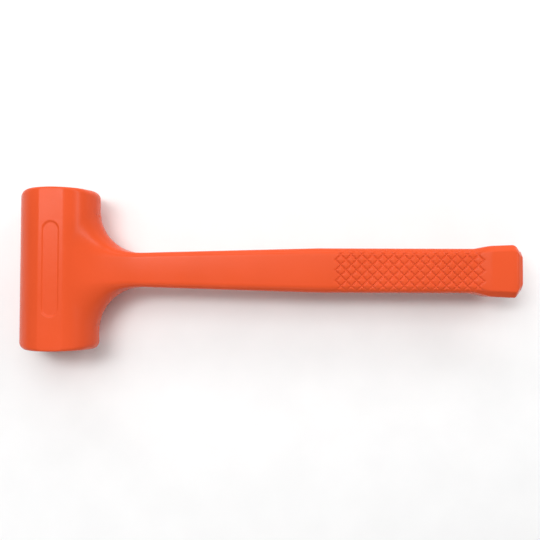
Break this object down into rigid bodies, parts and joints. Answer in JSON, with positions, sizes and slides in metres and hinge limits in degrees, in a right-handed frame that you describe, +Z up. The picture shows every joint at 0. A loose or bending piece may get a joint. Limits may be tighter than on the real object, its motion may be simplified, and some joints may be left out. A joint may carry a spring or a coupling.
{
  "type": "dead blow mallet",
  "caption": "One-piece orange urethane dead blow mallet lying on its side, with a round head, a knurled grip and a sealed steel canister of sliding shot inside.",
  "frame": {"origin": "middle of the flat that the head rests on, straight below the head's axis", "axes": "+X along the handle from the head to the butt, +Y along the striking axis, +Z up, the outward normal of the flat with the sunk panel"},
  "size_m": [0.321, 0.102, 0.0475],
  "materials": {
    "urethane": "satin moulded urethane, bright orange",
    "canister_steel": "drawn tube, bare",
    "cap_steel": "pressed, bare",
    "socket_steel": "turned, bare",
    "weld_metal": "rippled weld bead",
    "rod_steel": "bright drawn bar",
    "pin_steel": "bare",
    "shot_steel": "tumbled balls"
  },
  "bodies": {
    "mallet": {"cast_body": "urethane", "canister_tube": "canister_steel", "upper_cap": "cap_steel", "lower_cap": "cap_steel", "rod_socket": "socket_steel", "socket_weld": "weld_metal", "handle_rod": "rod_steel", "cross_pin": "pin_steel", "anchor_washer": "pin_steel"},
    "shot": {"shot_layer_1": "shot_steel", "shot_layer_2": "shot_steel", "shot_layer_3": "shot_steel", "shot_layer_4": "shot_steel", "shot_layer_5": "shot_steel", "shot_layer_6": "shot_steel"}
  },
  "joints": [
    {"name": "shot_slide", "type": "slide", "parent": "mallet", "child": "shot", "axis": [0, 1, 0], "range_m": [-0.0093, 0.0093]}
  ]
}
